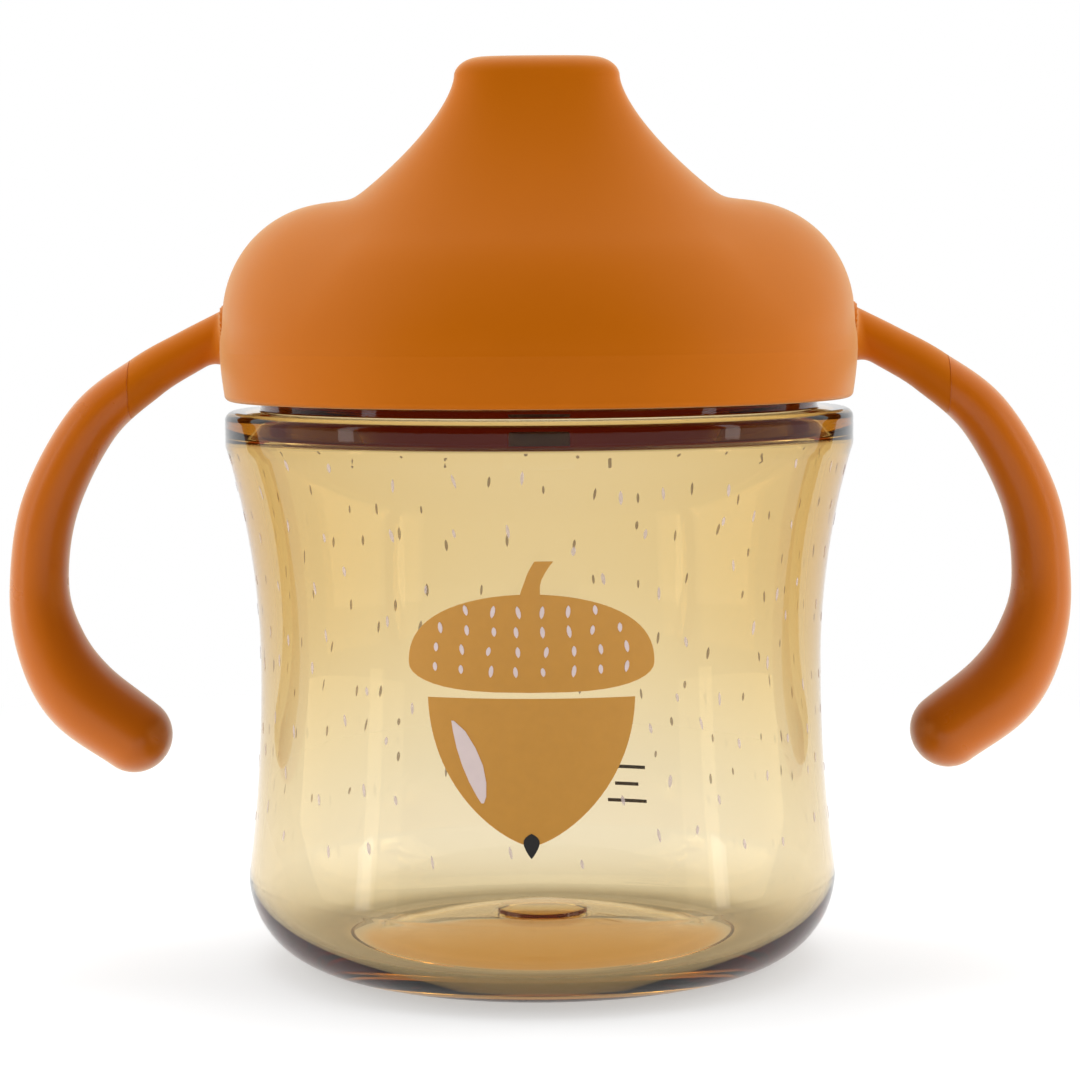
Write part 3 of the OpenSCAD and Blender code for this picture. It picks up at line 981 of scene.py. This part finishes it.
def ramp(tree, value, start, end, low, high):
    """Goes smoothly from low to high while a value goes from start to end."""
    node = tree.nodes.new("ShaderNodeMapRange")
    node.interpolation_type = "SMOOTHSTEP"
    for socket, number in zip(("From Min", "From Max", "To Min", "To Max"), (start, end, low, high)):
        node.inputs[socket].default_value = number
    tree.links.new(value, node.inputs["Value"])
    return node.outputs["Result"]


def choose(tree, switch, when_off, when_on):
    """One value where a switch is 0 and the other where it is 1, and a blend between."""
    node = tree.nodes.new("ShaderNodeMix")
    tree.links.new(switch, node.inputs["Factor"])
    tree.links.new(when_off, node.inputs["A"])
    tree.links.new(when_on, node.inputs["B"])
    return node.outputs["Result"]


def make_floor():
    """A round pale floor, large enough to fill every view."""
    sides = 96
    points = [(FLOOR_R * math.cos(TURN * i / sides), FLOOR_R * math.sin(TURN * i / sides), -0.02)
              for i in range(sides)]
    floor = build("floor", points, [tuple(range(sides))])
    material, tree, shader = new_material("floor")
    place = tree.nodes.new("ShaderNodeTexCoord")
    length = tree.nodes.new("ShaderNodeVectorMath")
    length.operation = "LENGTH"
    tree.links.new(place.outputs["Object"], length.inputs[0])
    radius = length.outputs["Value"]
    near, far = (r * MM for r in FLOOR_FADE)
    white = ramp(tree, radius, near, far, FLOOR_WHITE, 0)
    grain = spread(tree, noise(tree, 3), 0.99, 1.01)
    colour = tree.nodes.new("ShaderNodeMath")
    colour.operation = "MULTIPLY"
    tree.links.new(white, colour.inputs[0])
    tree.links.new(grain, colour.inputs[1])
    tree.links.new(colour.outputs["Value"], shader.inputs["Base Color"])
    shader.inputs["Roughness"].default_value = 0.9
    shader.inputs["Specular IOR Level"].default_value = 0
    # Amber glow under the base, in place of the light that the tumbler focuses there
    outside = ramp(tree, radius, *[r * MM for r in PAINTED_CAUSTIC_EDGE], 0, 1)
    painted_caustic = tree.nodes.new("ShaderNodeMix")
    painted_caustic.data_type = "RGBA"
    tree.links.new(outside, painted_caustic.inputs["Factor"])
    painted_caustic.inputs["A"].default_value = PAINTED_CAUSTIC_COLOUR
    painted_caustic.inputs["B"].default_value = (1, 1, 1, 1)
    tree.links.new(painted_caustic.outputs["Result"], shader.inputs["Emission Color"])
    path = tree.nodes.new("ShaderNodeLightPath")
    glow = choose(tree, path.outputs["Is Transmission Ray"],
                  ramp(tree, radius, near, far, FLOOR_GLOW, 1),
                  ramp(tree, radius, near, far, FLOOR_SEEN_THROUGH, 1))
    tree.links.new(choose(tree, outside, constant(tree, 1), glow), shader.inputs["Emission Strength"])
    floor.data.materials.append(material)


def softbox(name, place, size, power, shines=True, aim=(0, 0, 60)):
    data = bpy.data.lights.new(name, "AREA")
    data.shape = "RECTANGLE"
    data.size, data.size_y = [s * MM for s in size]
    data.energy = power
    light = bpy.data.objects.new(name, data)
    light.location = Vector(place) * MM
    light.rotation_euler = (Vector(place) - Vector(aim)).to_track_quat("Z", "Y").to_euler()
    light.visible_glossy = shines
    bpy.context.scene.collection.objects.link(light)


def make_light():
    softbox("softbox_top", (0, 200, 1100), (1400, 1100), TOP_POWER, shines=False)
    for side, name in ((-1, "left"), (1, "right")):
        softbox("softbox_" + name, (side * 700, -60, 260), (800, 1100), SIDE_POWER, shines=False)
        softbox("strip_" + name, (side * 560, -200, 140), (70, 480), STRIP_POWER)
    world = bpy.data.worlds.new("studio")
    bpy.context.scene.world = world
    world.use_nodes = True
    tree = world.node_tree
    place = tree.nodes.new("ShaderNodeTexCoord")
    parts = tree.nodes.new("ShaderNodeSeparateXYZ")
    tree.links.new(place.outputs["Generated"], parts.inputs["Vector"])
    path = tree.nodes.new("ShaderNodeLightPath")
    strength = ramp(tree, parts.outputs["Y"], *WORLD_SEEN_BY_SURFACES)
    through = ramp(tree, parts.outputs["Y"], *WORLD_SEEN_THROUGH)
    strength = choose(tree, path.outputs["Is Transmission Ray"], strength, through)
    strength = choose(tree, path.outputs["Is Camera Ray"], strength, constant(tree, 1))
    tree.links.new(strength, tree.nodes["Background"].inputs["Strength"])
    tree.nodes["Background"].inputs["Color"].default_value = (1, 1, 1, 1)


def set_renderer():
    scene = bpy.context.scene
    scene.view_settings.view_transform = "Standard"
    scene.cycles.use_denoising = True
    scene.cycles.caustics_reflective = False
    scene.cycles.caustics_refractive = False
    scene.cycles.max_bounces = 24
    scene.cycles.transmission_bounces = 24
    scene.cycles.glossy_bounces = 24
    scene.cycles.transparent_max_bounces = 32


make_camera()
make_tumbler()
make_prints()
make_lid()
make_grips()
make_gasket()
make_valve()
make_floor()
make_light()
set_renderer()
